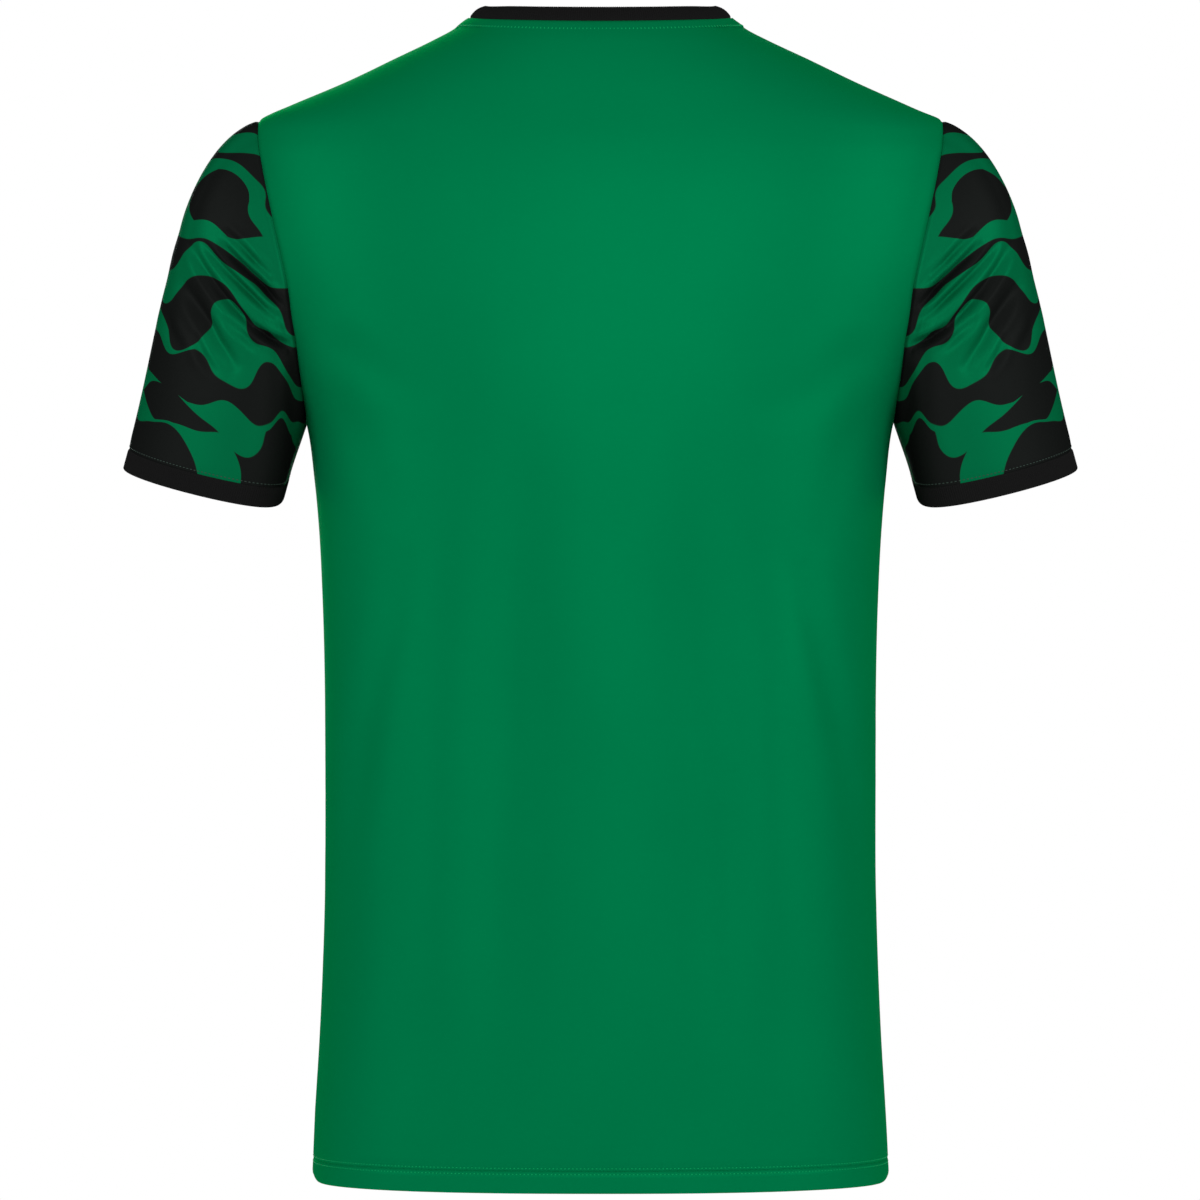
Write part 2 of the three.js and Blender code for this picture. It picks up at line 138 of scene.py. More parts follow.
def bodySlope(points, side):
    step = 0.01
    level = bodyLevel(points, side)
    return np.stack([(bodyLevel(points + step * axis, side) - level) / step for axis in np.eye(3)], -1)


def inwardNormal(points, side):
    return -unit(bodySlope(points, side))


def settleOnBody(points, side):
    for _ in range(8):
        slope = bodySlope(points, side)
        points = points - slope * (bodyLevel(points, side)[..., None] / dot(slope, slope))
    return points


# Points along a curve at shares of its length
def evenPoints(curve, shares):
    dense = curve(np.linspace(0, 1, 1201))
    length = np.concatenate([[0], np.cumsum(np.linalg.norm(np.diff(dense, axis=0), axis=1))])
    return np.stack([np.interp(np.asarray(shares) * length[-1], length, dense[:, k]) for k in range(3)], -1)


def armholeCurve(side, shares):
    def curve(t):
        z = armholeLevels[0, 0] + (armpitHeight - armholeLevels[0, 0]) * (1 - np.cos(math.pi * t)) / 2
        scoop = 0 if side > 0 else frontArmholeScoop * np.sin(math.pi * t) ** 2
        x = np.minimum(armholeAt(z), halfWidthAt(z)) - scoop
        x[[0, -1]] = halfWidthAt(z[[0, -1]])
        return bodyPoint(x, z, side)
    return evenPoints(curve, shares)


def necklineCurve(side, shares):
    def curve(t):
        turn = (1 - t) * math.pi / 2
        across, down = np.cos(turn), np.sin(turn)
        if side > 0:
            return bodyPoint(neckHalfWidth * across, neckHeight - backNeckDrop * down, side)
        across = np.maximum(across, 0) ** frontNeckRoundness["across"]
        down = down ** frontNeckRoundness["down"]
        return bodyPoint(neckHalfWidth * across, neckHeight - frontNeckDrop * down, side)
    return evenPoints(curve, shares)


def shoulderCurve(shares):
    def curve(t):
        z = neckHeight + (armholeLevels[0, 0] - neckHeight) * t
        return np.stack([halfWidthAt(z), 0 * z, z], -1)
    return evenPoints(curve, shares)


# Rolling average round a closed line, to keep a seam's directions smooth
def smoothRing(vectors, reach):
    total = sum(np.roll(vectors, shift, axis=0) for shift in range(-reach, reach + 1))
    return total / (2 * reach + 1)


def seamFrames(points, walls, hints, reach=2):
    along = unit(smoothRing(np.roll(points, -1, axis=0) - np.roll(points, 1, axis=0), reach))
    wall = unit(walls - along * dot(walls, along))
    across = unit(np.cross(along, wall))
    across = across * np.where(dot(across, hints) < 0, -1, 1)
    return {"point": points, "along": along, "wall": wall, "across": across}


def armholeSeamAt(shares):
    back = armholeCurve(1, shares)
    front = armholeCurve(-1, shares)
    loop = np.concatenate([back, front[1:-1][::-1]])
    return seamFrames(loop, armholeCentre - loop, np.array([1.0, 0, 0]))


def cuffPoint(turn):
    across = cuffHalfWidth * np.cos(turn) - cuffFlattening * np.sin(turn) ** 2
    return cuffCentre + across[:, None] * cuffAcross + (cuffHalfDepth * np.sin(turn))[:, None] * cuffDeep


def cuffSeamAt(turn):
    loop = cuffPoint(turn)
    return seamFrames(loop, cuffCentre - loop, sleeveAxis)


def neckSeamAt(backShares, frontShares, reach):
    back = necklineCurve(1, backShares)
    front = necklineCurve(-1, frontShares)
    flip = np.array([-1, 1, 1])
    loop = np.concatenate([back, front[:-1][::-1], front[1:] * flip, back[1:-1][::-1] * flip])
    side = np.where(loop[:, 1] > -0.001, 1, -1)
    hints = np.stack([-loop[:, 0], -loop[:, 1], np.full(len(loop), neckHalfWidth)], -1)
    return seamFrames(loop, smoothRing(inwardNormal(loop, side), reach), hints, reach)


# Meshes
def srgb(code):
    values = [int(code[i:i + 2], 16) / 255 for i in (1, 3, 5)]
    return (*[v / 12.92 if v <= 0.04045 else ((v + 0.055) / 1.055) ** 2.4 for v in values], 1)


# A surface is its points in mm, its faces and, for cloth, each face corner's place on the cut in mm
def makePiece(name, surface, material):
    points, faces, *flat = surface
    mesh = bpy.data.meshes.new(name)
    mesh.from_pydata((points * millimetre).tolist(), [], faces.tolist())
    if flat:
        layer = mesh.uv_layers.new(name="flatCut")
        layer.data.foreach_set("uv", (flat[0] * millimetre).ravel())
    mesh.polygons.foreach_set("use_smooth", np.ones(len(mesh.polygons), bool))
    mesh.materials.append(material)
    mesh.update()
    piece = bpy.data.objects.new(name, mesh)
    bpy.context.scene.collection.objects.link(piece)
    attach(piece, "root")
    return piece


def facesOutward(points, faces):
    a, b, c, d = (points[faces[:, k]] for k in range(4))
    volume = (a * np.cross(b, c)).sum() + (a * np.cross(c, d)).sum()
    return volume > 0


# A closed shell between an outer and an inner grid of points. flat gives each grid point's place on the
# cut cloth; in a ring, jump is the column of its own seam, where the cut's two edges meet.
def shell(outer, inner, flat, ring=False, jump=None):
    grid = np.concatenate([inner[::-1], outer])
    spotGrid = np.concatenate([flat[::-1], flat])
    half = len(outer)
    rows, columns = grid.shape[:2]
    r0, c0 = np.meshgrid(np.arange(rows), np.arange(columns if ring else columns - 1), indexing="ij")
    r1, c1 = (r0 + 1) % rows, (c0 + 1) % columns
    corners = [(r0, c0), (r0, c1), (r1, c1), (r1, c0)]
    faces = np.stack([(r * columns + c).ravel() for r, c in corners], -1)
    spots = np.stack([spotGrid[r, c].reshape(-1, 2) for r, c in corners], 1)
    if ring:
        width = 2 * flat[:, jump, 0].max()
        for k, column in enumerate([c0, c1, c1, c0]):
            wrapped = ((c0 == jump) & (column == jump)).ravel()
            spots[wrapped, k, 0] -= width
    else:
        i = np.arange(half - 1)
        strip = np.stack([half - 2 - i, half - 1 - i, half + i, half + 1 + i], -1)
        first, last = strip * columns, strip[:, ::-1] * columns + columns - 1
        ends = np.concatenate([first, last])
        faces = np.concatenate([faces, ends])
        spots = np.concatenate([spots, spotGrid.reshape(-1, 2)[ends]])
    points = grid.reshape(-1, 3)
    if not facesOutward(points, faces):
        faces, spots = faces[:, ::-1], spots[:, ::-1]
    return points, faces, spots.reshape(-1, 2)


def mirrored(points, faces, flat):
    corners = flat.reshape(len(faces), -1, 2)[:, ::-1]
    return points * np.array([-1, 1, 1]), faces[:, ::-1], corners.reshape(-1, 2)


# Distance along a grid from its first row (axis 0) or first column (axis 1)
def gridLengths(grid, axis):
    steps = np.linalg.norm(np.diff(grid, axis=axis), axis=-1)
    pad = [(1, 0), (0, 0)] if axis == 0 else [(0, 0), (1, 0)]
    return np.cumsum(np.pad(steps, pad), axis=axis)


def smoothStep(low, high, value):
    t = np.clip((value - low) / (high - low), 0, 1)
    return t * t * (3 - 2 * t)


# Slight unevenness of hanging cloth, from a seeded draw of long waves
def softWaves(x, z, seed, shortest, longest, height):
    draw = np.random.default_rng(seed)
    total = np.zeros_like(x)
    for _ in range(9):
        turn, phase = draw.uniform(0, math.pi), draw.uniform(0, 2 * math.pi)
        length = draw.uniform(shortest, longest)
        total += np.sin(2 * math.pi * (x * math.cos(turn) + 0.6 * z * math.sin(turn)) / length + phase)
    return height * total / 3


# Materials
def addNode(tree, kind, inputs=None, **settings):
    made = tree.nodes.new(kind)
    for key, value in settings.items():
        setattr(made, key, value)
    for name, value in (inputs or {}).items():
        if isinstance(value, bpy.types.NodeSocket):
            tree.links.new(value, made.inputs[name])
        else:
            made.inputs[name].default_value = value
    return made


def maths(tree, operation, *values):
    return addNode(tree, "ShaderNodeMath", dict(enumerate(values)), operation=operation).outputs[0]


def newMaterial(name):
    material = bpy.data.materials.new(name)
    material.use_nodes = True
    return material, material.node_tree.nodes["Principled BSDF"]


# Place on the cut cloth in mm
def flatPlace(tree):
    spot = addNode(tree, "ShaderNodeUVMap", uv_map="flatCut").outputs["UV"]
    parts = addNode(tree, "ShaderNodeSeparateXYZ", {"Vector": spot})
    return [maths(tree, "MULTIPLY", parts.outputs[axis], 1 / millimetre) for axis in ("X", "Y")]


# Interlock has fine upright wales crossed by courses, this far apart in mm in real sports cloth
knit = {"wale": 0.65, "course": 0.55, "bumpStrength": 0.2, "bumpDistance": 0.00003}


def knitBump(tree, u, v):
    wale = maths(tree, "SINE", maths(tree, "MULTIPLY", u, 2 * math.pi / knit["wale"]))
    course = maths(tree, "SINE", maths(tree, "MULTIPLY", v, 2 * math.pi / knit["course"]))
    height = maths(tree, "MULTIPLY", maths(tree, "ADD", wale, 1.2), maths(tree, "ADD", course, 1.8))
    relief = {"Strength": knit["bumpStrength"], "Distance": knit["bumpDistance"], "Height": height}
    return addNode(tree, "ShaderNodeBump", relief).outputs["Normal"]


def mixColours(tree, share, first, second):
    mix = addNode(tree, "ShaderNodeMix", {"Factor": share, 6: srgb(first), 7: srgb(second)}, data_type="RGBA")
    return mix.outputs[2]


def noise(tree, place, scale, detail):
    made = addNode(tree, "ShaderNodeTexNoise", {"Vector": place, "Scale": scale, "Detail": detail})
    return made.outputs["Fac"]


# Smooth filament yarn: a coloured sheen rather than a white gloss
def silkySurface(shader, roughness, tint):
    shader.inputs["Roughness"].default_value = roughness
    shader.inputs["Metallic"].default_value = 0.3
    shader.inputs["Specular IOR Level"].default_value = 0
    shader.inputs["Specular Tint"].default_value = srgb(tint)


# Dyed polyester interlock: even and smooth, matt face on, with a thin silky lift where it turns away
def greenInterlock():
    material, shader = newMaterial("green polyester interlock")
    tree = material.node_tree
    u, v = flatPlace(tree)
    place = addNode(tree, "ShaderNodeCombineXYZ", {"X": u, "Y": v}).outputs[0]
    mottle = noise(tree, place, 0.02, 3.0)
    tree.links.new(mixColours(tree, mottle, "#007646", "#007948"), shader.inputs["Base Color"])
    tree.links.new(knitBump(tree, u, v), shader.inputs["Normal"])
    silkySurface(shader, 0.45, "#00e68c")
    return material


# Tiger stripe in mm, with the scales as cells of noise to the mm: rows a pitch apart lean and drift,
# and each swells and tapers on its own
tigerStripe = {
    "pitch": 33.0,
    "lean": 0.16,
    "drift": 70.0,
    "driftScale": 0.013,
    "waver": 20.0,
    "waverScale": 0.034,
    "swellScale": 0.017,
    "swellRange": 1.9,
    "swellLow": -0.6,
    "rowStep": 7.3,
    "edge": 0.008,
}


# The same interlock with a printed tiger stripe: flat ink, so black and green share one surface
def printedInterlock(stripe):
    material, shader = newMaterial("printed polyester interlock")
    tree = material.node_tree
    u, v = flatPlace(tree)
    place = addNode(tree, "ShaderNodeCombineXYZ", {"X": u, "Y": v}).outputs[0]
    drift = noise(tree, place, stripe["driftScale"], 0.0)
    waver = noise(tree, place, stripe["waverScale"], 0.0)
    warped = maths(tree, "MULTIPLY_ADD", u, stripe["lean"], v)
    warped = maths(tree, "MULTIPLY_ADD", drift, stripe["drift"], warped)
    warped = maths(tree, "MULTIPLY_ADD", waver, stripe["waver"], warped)
    count = maths(tree, "DIVIDE", warped, stripe["pitch"])
    row = maths(tree, "FLOOR", count)
    offMiddle = maths(tree, "ABSOLUTE", maths(tree, "SUBTRACT", maths(tree, "SUBTRACT", count, row), 0.5))
    along = addNode(tree, "ShaderNodeCombineXYZ", {
        "X": maths(tree, "MULTIPLY", u, stripe["swellScale"]),
        "Y": maths(tree, "MULTIPLY", row, stripe["rowStep"]),
    }).outputs[0]
    swell = noise(tree, along, 1.0, 0.0)
    half = maths(tree, "MULTIPLY_ADD", swell, stripe["swellRange"], stripe["swellLow"])
    ink = maths(tree, "SUBTRACT", half, offMiddle)
    share = addNode(tree, "ShaderNodeMapRange", {"Value": ink, "From Min": -stripe["edge"],
                                                 "From Max": stripe["edge"]}).outputs[0]
    tree.links.new(mixColours(tree, share, "#036940", "#191b1a"), shader.inputs["Base Color"])
    tree.links.new(knitBump(tree, u, v), shader.inputs["Normal"])
    silkySurface(shader, 0.38, "#41564b")
    return material


# 1x1 rib knit: matt and springy, so only its ribs catch light
def blackRib():
    material, shader = newMaterial("black rib knit")
    shader.inputs["Base Color"].default_value = srgb("#161616")
    shader.inputs["Roughness"].default_value = 0.8
    shader.inputs["Specular IOR Level"].default_value = 0.04
    return material


# Spun sewing thread: nearly matt, in a colour that sets each stitch off from the knit
def sewingThread(name, code):
    material, shader = newMaterial(name)
    shader.inputs["Base Color"].default_value = srgb(code)
    shader.inputs["Roughness"].default_value = 0.5
    shader.inputs["Specular IOR Level"].default_value = 0.05
    return material


greenKnit = greenInterlock()
printedKnit = printedInterlock(tigerStripe)
ribKnit = blackRib()
greenThread = sewingThread("green sewing thread", "#089c5c")
greyThread = sewingThread("dark green sewing thread", "#3b4a43")
print("materials made")

# Folds
# Long soft folds: x at the top and at the bottom, top, bottom, half width, height (above 0 is a ridge)
backFolds = [
    (50, 66, -290, -650, 24, -6), (-62, -80, -285, -650, 23, -5.5), (96, 112, -330, -620, 22, 2.2),
    (-104, -122, -380, -610, 22, 2.2), (-6, -10, -330, -690, 26, 2),
]
frontFolds = [
    (58, 74, -280, -655, 25, -5.5), (-52, -66, -295, -640, 24, -5), (104, 120, -360, -630, 22, 2.2),
    (-98, -112, -340, -620, 22, 2), (4, 8, -340, -680, 26, 1.8),
]


def foldHeight(folds, x, z):
    total = np.zeros_like(x)
    for topX, bottomX, top, bottom, halfWidth, height in folds:
        share = (top - z) / (top - bottom)
        along = np.exp(-((2 * share - 1) ** 4))
        total += height * along * np.exp(-(((x - topX - (bottomX - topX) * share) / halfWidth) ** 2))
    return total


# A crease is a trough along a path of (x, z) points, with a low ridge beside it
def creaseDepth(creases, x, z):
    total = np.zeros_like(x)
    for crease in creases:
        path = np.array(crease["path"], float)
        step = np.concatenate([[0], np.cumsum(np.linalg.norm(np.diff(path, axis=0), axis=1))])
        share = np.linspace(0, 1, 48)
        line = np.stack([np.interp(share * step[-1], step, path[:, k]) for k in range(2)], -1)
        line[1:-1] = (line[:-2] + 2 * line[1:-1] + line[2:]) / 4
        run = np.gradient(line, axis=0)
        run /= np.linalg.norm(run, axis=1, keepdims=True)
        reach = step[-1] / 2 + 40
        near = (np.abs(x - line[:, 0].mean()) < reach) & (np.abs(z - line[:, 1].mean()) < reach)
        if not near.any():
            continue
        away = np.stack([x[near], z[near]], -1)[:, None] - line
        best = (away ** 2).sum(-1).argmin(1)
        away = away[np.arange(len(best)), best]
        across = away[:, 0] * run[best, 1] - away[:, 1] * run[best, 0]
        beyond = away[:, 0] * run[best, 0] + away[:, 1] * run[best, 1]
        width = crease["width"]
        at = share[best]
        peak = crease.get("peak", 0.5)
        swell = np.where(at < peak, at / peak, (1 - at) / (1 - peak))
        swell = np.clip(swell, 0, 1) ** 0.6 * np.exp(-((beyond / width) ** 2))
        trough = np.exp(-((across / width) ** 2))
        ridge = crease.get("ridge", 0.35) * (np.exp(-(((across - 1.9 * width) / width) ** 2))
                                             + np.exp(-(((across + 1.9 * width) / width) ** 2)))
        total[near] += crease["depth"] * swell * (trough - ridge)
    return total


# Body panels
# foldFade is the share of a piece, next to its seam, over which the long folds die away
panelCut = {
    "acrossSteps": 70,
    "bodyRows": 112,
    "armholeRows": 60,
    "sideLength": 300,
    "armholeLength": 215,
    "clothThickness": 0.7,
    "hemThickness": 1.9,
    "hemLayer": 16.2,
    "hemRows": [0, 0.12, 0.35, 0.7, 1.2, 2.2, 4, 6, 8, 9.6, 10.6, 11.2, 11.8, 12.4, 12.9, 13.25, 13.6, 13.95,
                14.3, 14.8, 15.4, 15.9, 16.5],
    "stitchHeights": [11.8, 15.4],
    "stitchDent": {"depth": 0.35, "halfWidth": 0.7},
    "hemGroove": {"depth": 0.95, "halfWidth": 0.65},
    "hemCorner": {"radius": 6, "reach": 34},
    "seamOffsets": [7.5, 5, 3.2, 2, 1.2, 0.6, 0],
    "seamRoll": {"depth": 1.0, "halfWidth": 1.5},
    "foldFade": 3 / 14,
    "neckStitchDistance": 8.5,
    "neckTurningLift": 0.45,
    "neckGroove": {"depth": 0.6, "halfWidth": 0.9},
    "unevenness": {"shortest": 60, "longest": 150, "height": 0.4},
}

# Soft creases on the back and, with like ones, on the front
backCreases = [
    {"path": [(172, -196), (140, -222), (98, -240)], "width": 11, "depth": 1.3, "peak": 0.2},
    {"path": [(176, -222), (150, -262), (128, -320)], "width": 12, "depth": 1.2, "peak": 0.2},
    {"path": [(-172, -200), (-138, -230), (-92, -252)], "width": 12, "depth": 1.3, "peak": 0.2},
    {"path": [(-176, -226), (-152, -270), (-134, -335)], "width": 11, "depth": 1.1, "peak": 0.2},
    {"path": [(118, -330), (146, -440), (169, -590)], "width": 10, "depth": 1.9},
    {"path": [(-122, -335), (-149, -440), (-170, -555)], "width": 9, "depth": 2.1, "peak": 0.4},
    {"path": [(-150, -470), (-163, -560), (-172, -660)], "width": 11, "depth": 1.5},
    {"path": [(152, -520), (163, -600), (171, -680)], "width": 12, "depth": 1.3},
    {"path": [(-84, -400), (-80, -520), (-74, -640)], "width": 12, "depth": 1.0},
]
frontCreases = [
    {"path": [(170, -200), (136, -228), (96, -244)], "width": 12, "depth": 1.4, "peak": 0.2},
    {"path": [(-170, -196), (-132, -226), (-88, -238)], "width": 11, "depth": 1.3, "peak": 0.2},
    {"path": [(174, -230), (150, -276), (136, -330)], "width": 12, "depth": 1.1, "peak": 0.2},
    {"path": [(-175, -224), (-154, -262), (-136, -322)], "width": 12, "depth": 1.2, "peak": 0.2},
    {"path": [(116, -345), (145, -450), (168, -600)], "width": 10, "depth": 2},
    {"path": [(-120, -325), (-147, -430), (-170, -570)], "width": 10, "depth": 1.9, "peak": 0.4},
    {"path": [(-148, -480), (-162, -570), (-172, -650)], "width": 11, "depth": 1.4},
    {"path": [(60, -140), (78, -176), (106, -204)], "width": 14, "depth": 1.2},
    {"path": [(-66, -146), (-84, -184), (-110, -212)], "width": 14, "depth": 1.1},
]


def sectionRow(sideHeight, centreHeight, side, shares):
    def curve(t):
        z = sideHeight + (centreHeight - sideHeight) * (1 - t * t) ** 2
        turn = (1 - t) * math.pi / 2
        x = halfWidthAt(z) * np.abs(np.cos(turn)) ** (2 / sectionPower)
        y = side * depthOnSide(z, side) * np.sin(turn) ** (2 / sectionPower)
        return np.stack([x, y, z], -1)
    return evenPoints(curve, shares)


def closingShares(steps, length, offsets):
    even = np.arange(steps) / steps
    return np.concatenate([even[even < 1 - 1.4 * offsets[0] / length], 1 - np.array(offsets) / length])


# A rounded dip along a line, by the distance from it
def dip(distance, shape):
    return shape["depth"] * np.exp(-((distance / shape["halfWidth"]) ** 2))


# The wearer's left half of a panel: rows of the body up to the armpit, then a patch up to the shoulder
def halfPanel(side, across, up, cut):
    start = hemHeight + hemDepth + hemStep
    rows = [sectionRow(hemHeight + h, hemHeight + h, side, across) for h in cut["hemRows"]]
    for share in np.arange(1, cut["bodyRows"] + 1) / cut["bodyRows"]:
        sideHeight = start + (armpitHeight - start) * share
        rows.append(sectionRow(sideHeight, sideHeight + armpitArch * share, side, across))
    bottom = rows[-1]
    onNeck = across <= neckShare + 1e-9
    top = np.concatenate([necklineCurve(side, across[onNeck] / neckShare),
                          shoulderCurve((across[~onNeck] - neckShare) / (1 - neckShare))])
    edge = armholeCurve(side, 1 - up)

    def centreLine(t):
        return bodyPoint(0 * t, bottom[0, 2] + (top[0, 2] - bottom[0, 2]) * t, side)

    centre = evenPoints(centreLine, up)
    u, v = across[None, :, None], up[1:, None, None]
    patch = (bottom * (1 - v) + top * v + centre[1:, None] * (1 - u) + edge[1:, None] * u
             - bottom[0] * (1 - u) * (1 - v) - bottom[-1] * u * (1 - v)
             - top[0] * (1 - u) * v - top[-1] * u * v)
    patch = settleOnBody(patch, side)
    patch[-1], patch[:, -1] = top, edge[1:]
    return np.concatenate([np.array(rows), patch]), len(rows) - 1, onNeck


# How each seam edge of the half panel stands back and rolls in
def panelSeamShift(half, side, up, armpitRow, onNeck, cut):
    shares = 1 - up[::-1]
    seam = armholeSeamAt(shares)
    order = np.arange(len(shares)) if side > 0 else (-np.arange(len(shares))) % len(seam["point"])
    seamWall = seam["wall"][order][::-1]
    seamAcross = seam["across"][order][::-1]
    fromSide = gridLengths(half[:, ::-1], 1)[:, ::-1]
    fromTop = gridLengths(half[::-1], 0)[::-1]
    edgeWall = inwardNormal(half[:, -1], side)
    blend = smoothStep(0, 0.14, up)[:, None]
    edgeWall[armpitRow:] = unit(edgeWall[armpitRow:] * (1 - blend) + seamWall * blend)
    topWall = inwardNormal(half[-1], side)
    shift = dip(fromSide, cut["seamRoll"])[..., None] * edgeWall[:, None]
    shift = shift + dip(fromTop, cut["seamRoll"])[..., None] * topWall
    shift[armpitRow:, -1] -= seamAcross * clothGap / 2
    shift[:armpitRow, -1, 1] += side * clothGap / 2
    shift[-1, ~onNeck, 1] += side * clothGap / 2
    return shift, fromSide, fromTop


# The neck seam's turnings lift the cloth between the rib and the row of stitches
def neckRelief(base, cut):
    neck = neckSeamAt(np.linspace(0, 1, 60), np.linspace(0, 1, 90), 2)["point"]
    collar = base[..., 2] > neckHeight - frontNeckDrop - 30
    reach = np.full(collar.shape, 99.0)
    reach[collar] = np.sqrt(((base[collar][:, None] - neck) ** 2).sum(-1)).min(1)
    stitches = cut["neckStitchDistance"]
    lift = cut["neckTurningLift"] * (1 - smoothStep(stitches - 1.2, stitches + 0.4, reach))
    return lift - dip(reach - stitches, cut["neckGroove"])


# How far in the turned-up hem's edge curves, half its thickness at most
def hemEdge(rise, cut):
    radius = cut["hemThickness"] / 2
    turned = np.where(rise < radius, radius - np.sqrt(np.maximum(radius ** 2 - (radius - rise) ** 2, 0)), 0)
    return np.minimum(turned, 0.93 * radius)


# The hem is pulled in a little by its two rows of stitches and rounded at its corners
def hemRelief(rise, fromSide, cut):
    dent = sum(dip(rise - height, cut["stitchDent"]) for height in cut["stitchHeights"])
    dent = dent + dip(rise - np.mean(cut["stitchHeights"]), cut["hemGroove"])
    radius = cut["hemCorner"]["radius"]
    left = np.maximum(radius - rise, 0)
    corner = radius - np.sqrt(np.maximum(radius ** 2 - left ** 2, 0))
    corner = corner * np.exp(-((fromSide / cut["hemCorner"]["reach"]) ** 2))
    return dent * smoothStep(0, 7, fromSide) + corner


def clothThickness(rise, turned, cut):
    thin, doubled = cut["clothThickness"], cut["hemThickness"]
    inHem = 1 - smoothStep(cut["hemLayer"] - 0.5, cut["hemLayer"] + 0.2, rise)
    thick = thin + (doubled - thin) * inHem
    return np.where(rise < doubled / 2, np.maximum(doubled - 2 * turned, 0.1), thick)


def bothHalves(grid, flip=1):
    return np.concatenate([(grid * flip)[:, :0:-1], grid], 1)


def makePanel(name, side, folds, creases, cut):
    across = closingShares(cut["acrossSteps"], cut["sideLength"], cut["seamOffsets"])
    up = closingShares(cut["armholeRows"], cut["armholeLength"], cut["seamOffsets"])
    half, armpitRow, onNeck = halfPanel(side, across, up, cut)
    shift, fromSide, fromTop = panelSeamShift(half, side, up, armpitRow, onNeck, cut)

    flip = np.array([-1, 1, 1])
    base, shift = bothHalves(half, flip), bothHalves(shift, flip)
    fromSide, fromTop = bothHalves(fromSide), bothHalves(fromTop)
    wall = inwardNormal(base, side)
    x, z = base[..., 0], base[..., 2]
    offSeam = np.minimum((1 - bothHalves(np.broadcast_to(across, half.shape[:2]))) / cut["foldFade"], 1)
    calm = smoothStep(0, 14, fromSide) * smoothStep(0, 10, fromTop)
    height = foldHeight(folds, x, z) * offSeam
    height = height - creaseDepth(creases, x, z) * calm
    height = height + softWaves(x, z, 11 if side > 0 else 12, **cut["unevenness"]) * calm
    height = height + neckRelief(base, cut)

    rise = z - hemHeight
    turned = hemEdge(rise, cut)
    depth = turned + hemRelief(rise, fromSide, cut) - height
    outer = base + wall * depth[..., None] + shift
    inner = outer + wall * clothThickness(rise, turned, cut)[..., None]

    fromLeft = gridLengths(outer, 1)
    middle = half.shape[1] - 1
    flat = np.stack([fromLeft - fromLeft[:, middle:middle + 1], gridLengths(outer, 0)], -1)
    panel = makePiece(name, shell(outer, inner, flat), greenKnit)
    stitchRows = [cut["hemRows"].index(height) for height in cut["stitchHeights"]]
    return panel, [(outer[row], -wall[row]) for row in stitchRows]


# Stitches
# Each stitch is a short bead of thread along its row, or across it, with its ends sunk into the cloth
def stitchBeads(line, normals, pitch, length, radius, closed=False, crosswise=False):
    if closed:
        line, normals = np.concatenate([line, line[:1]]), np.concatenate([normals, normals[:1]])
    at = np.concatenate([[0], np.cumsum(np.linalg.norm(np.diff(line, axis=0), axis=1))])
    count = int(at[-1] // pitch)
    spots = (np.arange(count) + 0.5) * at[-1] / count

    def place(spot, values):
        return np.stack([np.interp(spot, at, values[:, k]) for k in range(3)], -1)

    centre, out = place(spots, line), unit(place(spots, normals))
    along = unit(place(spots + 0.4, line) - place(spots - 0.4, line))
    aside = np.cross(along, out)
    if crosswise:
        along, aside = aside, -along
    turn = np.arange(6) * math.pi / 3
    rings = [(-0.5, 0, -0.12), (-0.3, 1, 0.06), (0.3, 1, 0.06), (0.5, 0, -0.12)]
    points, faces = [], []
    for share, size, lift in rings:
        for angle in (turn if size else turn[:1]):
            upward = lift + size * radius * 0.8 * math.sin(angle)
            sideways = size * radius * math.cos(angle)
            points.append(centre + along * share * length + out * upward + aside * sideways)
    for k in range(6):
        n = (k + 1) % 6
        faces += [(0, 1 + n, 1 + k), (1 + k, 1 + n, 7 + n), (1 + k, 7 + n, 7 + k), (7 + k, 7 + n, 13)]
    points = np.stack(points, 1)
    faces = np.array(faces)[None] + (np.arange(count) * points.shape[1])[:, None, None]
    return points.reshape(-1, 3), faces.reshape(-1, 3)


def makeStitching(name, rows, thread, mirror=False, **sewing):
    points, faces, start = [], [], 0
    for line, normals in rows:
        rowPoints, rowFaces = stitchBeads(line, normals, **sewing)
        points.append(rowPoints)
        faces.append(rowFaces + start)
        start += len(rowPoints)
    points, faces = np.concatenate(points), np.concatenate(faces)
    if mirror:
        points, faces = points * np.array([-1, 1, 1]), faces[:, ::-1]
    return makePiece(name, (points, faces), thread)


# All thread is drawn thicker than real thread, which is about 0.3 mm across, so that it shows
hemSewing = {"pitch": 2.4, "length": 1.3, "radius": 0.36}
backPanel, backHemRows = makePanel("back_panel_cloth", 1, backFolds, backCreases, panelCut)
frontPanel, frontHemRows = makePanel("front_panel_cloth", -1, frontFolds, frontCreases, panelCut)
backHem = makeStitching("back_hem_stitching", backHemRows, greenThread, **hemSewing)
frontHem = makeStitching("front_hem_stitching", frontHemRows, greenThread, **hemSewing)
print("panels made")

# Sleeves
sleeveCut = {
    "roundSteps": 120,
    "lengthRows": 140,
    "nearSeamRows": [0, 0.003, 0.007, 0.013, 0.022],
    "halfRound": 220,
    "seamOffsets": [6, 4, 2.6, 1.6, 0.8, 0],
    "aroundFlat": 400,
    "thickness": 0.7,
    "seamRoll": {"depth": 1.0, "halfWidth": 1.5},
    "cuffRoll": {"depth": 0.4, "halfWidth": 1.5},
    "foldFade": 2 / 11,
    "underarmSeam": {"depth": 0.8, "halfWidth": 1.3},
    "unevenness": {"shortest": 45, "longest": 110, "height": 0.3},
    "dropOnTop": 20,
    "dropUnderArm": 75,
    "dropSharpness": 1.4,
    "forwardDrift": 0.06,
    "leavingPull": 0.82,
    "arrivingPull": 1.25,
    "cuffStitchDistance": 1.9,
}
